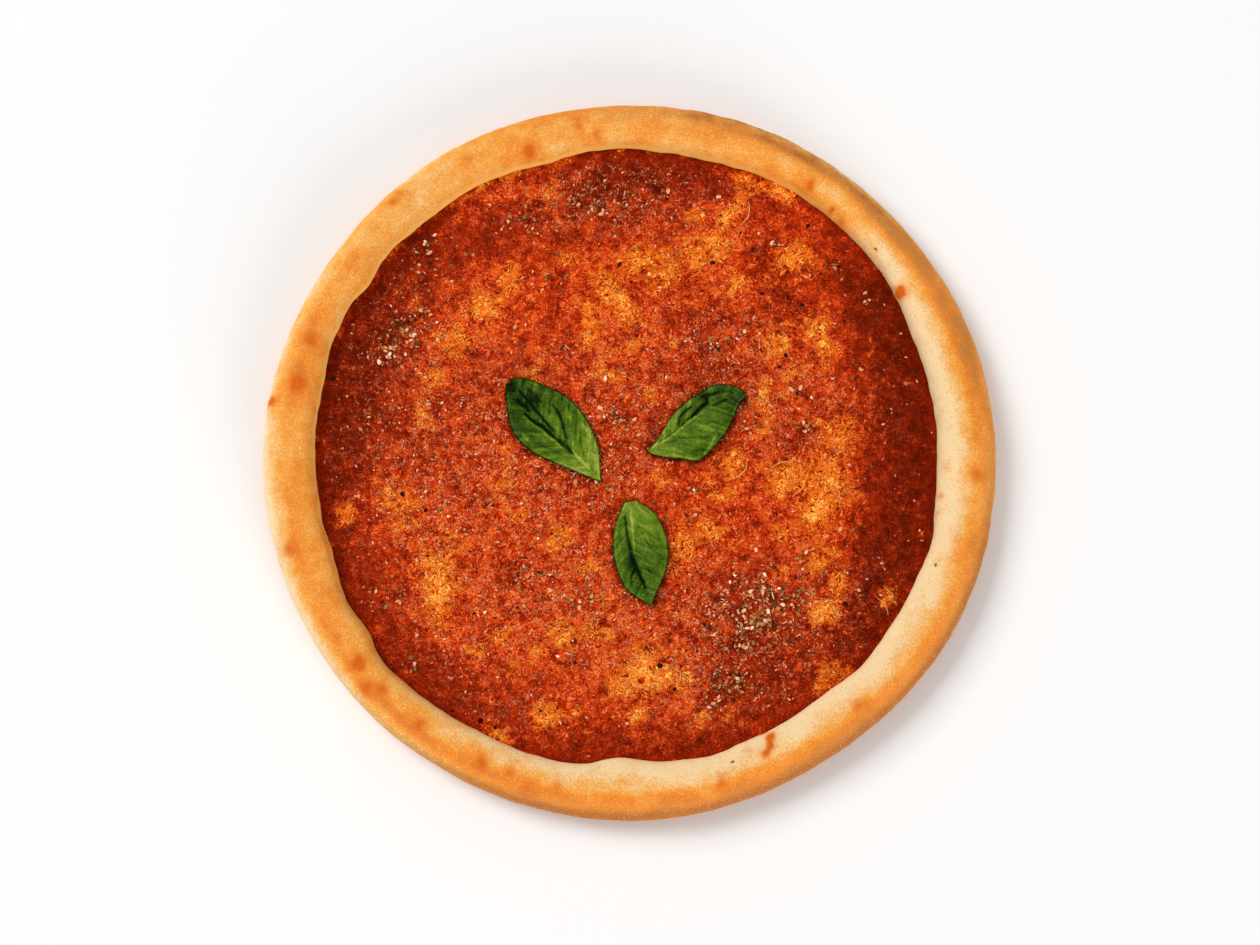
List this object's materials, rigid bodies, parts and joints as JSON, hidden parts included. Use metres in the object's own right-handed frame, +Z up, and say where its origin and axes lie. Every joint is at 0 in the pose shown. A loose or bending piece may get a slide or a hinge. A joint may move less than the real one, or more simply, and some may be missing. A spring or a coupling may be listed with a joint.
{
  "type": "margherita pizza",
  "caption": "Round flat baked pizza with a raised browned rim, tomato sauce, melted cheese, dried oregano and basil leaves.",
  "frame": {"origin": "middle of the pizza's outline, on the flat underside", "axes": "+Z up through the toppings; +X along the widest diameter, and the stem ends of the basil leaves point to the middle"},
  "size_m": [0.3104, 0.3078, 0.0199],
  "materials": {
    "baked_dough": "matte",
    "tomato_sauce": "satin",
    "melted_cheese": "satin",
    "basil_leaf": "satin"
  },
  "bodies": {
    "root": {"crust": "baked_dough", "sauce": "tomato_sauce", "cheese_01": "melted_cheese", "cheese_02": "melted_cheese", "cheese_03": "melted_cheese", "cheese_04": "melted_cheese", "cheese_05": "melted_cheese", "cheese_06": "melted_cheese", "cheese_07": "melted_cheese", "cheese_08": "melted_cheese", "cheese_09": "melted_cheese", "cheese_10": "melted_cheese", "cheese_11": "melted_cheese", "cheese_12": "melted_cheese", "cheese_13": "melted_cheese", "cheese_14": "melted_cheese", "cheese_15": "melted_cheese", "basil_leaf_1": "basil_leaf", "basil_leaf_2": "basil_leaf", "basil_leaf_3": "basil_leaf"}
  },
  "joints": []
}
